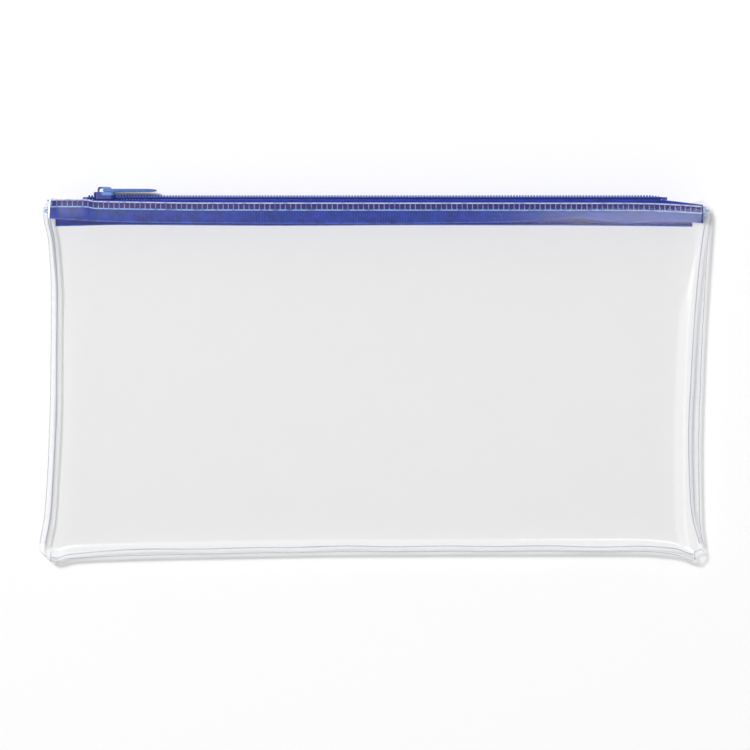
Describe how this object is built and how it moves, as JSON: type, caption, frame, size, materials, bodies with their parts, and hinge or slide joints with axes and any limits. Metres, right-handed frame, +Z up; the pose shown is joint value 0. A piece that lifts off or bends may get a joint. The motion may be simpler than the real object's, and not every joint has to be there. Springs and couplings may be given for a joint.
{
  "type": "cash deposit bag",
  "caption": "Clear flat film bag for banknotes and coin with a coil zip along its top edge, a metal slider and pull tab, and a front that lifts to open the mouth.",
  "frame": {"origin": "centre of the bag's footprint, on the surface it lies on", "axes": "+X along the zip towards its open-mouth end, +Y from the hem up to the zip, +Z up through the bag's thickness"},
  "size_m": [0.2794, 0.1564, 0.012],
  "materials": {
    "clear_film": "clear soft vinyl, glossy",
    "welded_film": "clear soft vinyl, two sheets fused",
    "zip_tape": "woven polyester",
    "coil": "nylon monofilament",
    "core_cord": "twisted polyester",
    "thread": "polyester thread",
    "slider_paint": "painted zinc casting",
    "pull_paint": "painted zinc casting"
  },
  "bodies": {
    "bag": {"back_coil": "coil", "back_coil_stitching": "thread", "back_core_cord": "core_cord", "back_panel": "clear_film", "back_tape": "zip_tape", "front_coil_left_end": "coil", "front_coil_right_end": "coil", "front_coil_stitching_left_end": "thread", "front_coil_stitching_right_end": "thread", "front_core_cord_left_end": "core_cord", "front_core_cord_right_end": "core_cord", "front_panel_hem_edge": "clear_film", "front_panel_left_end": "clear_film", "front_panel_right_end": "clear_film", "front_tape_left_end": "zip_tape", "front_tape_right_end": "zip_tape", "hem_seam_allowance": "welded_film", "left_end_stop": "coil", "left_seam_allowance": "welded_film", "right_end_stop": "coil", "right_seam_allowance": "welded_film"},
    "mouth_flap": {"front_panel": "clear_film", "front_tape": "zip_tape", "front_coil": "coil", "front_core_cord": "core_cord", "front_coil_stitching": "thread"},
    "slider": {"slider_body": "slider_paint"},
    "pull": {"pull_tab": "pull_paint"}
  },
  "joints": [
    {"name": "slider_travel", "type": "slide", "parent": "bag", "child": "slider", "axis": [1, 0, 0], "range_m": [0, 0.2248]},
    {"name": "pull_swing", "type": "hinge", "parent": "slider", "child": "pull", "pos_m": [-0.1124, 0.0767, 0.006], "axis": [0, 0, 1], "range_deg": [0, 180]},
    {"name": "mouth_opens", "type": "hinge", "parent": "bag", "child": "mouth_flap", "pos_m": [0, -0.064, 0.012], "axis": [1, 0, 0], "range_deg": [0, 10]}
  ]
}
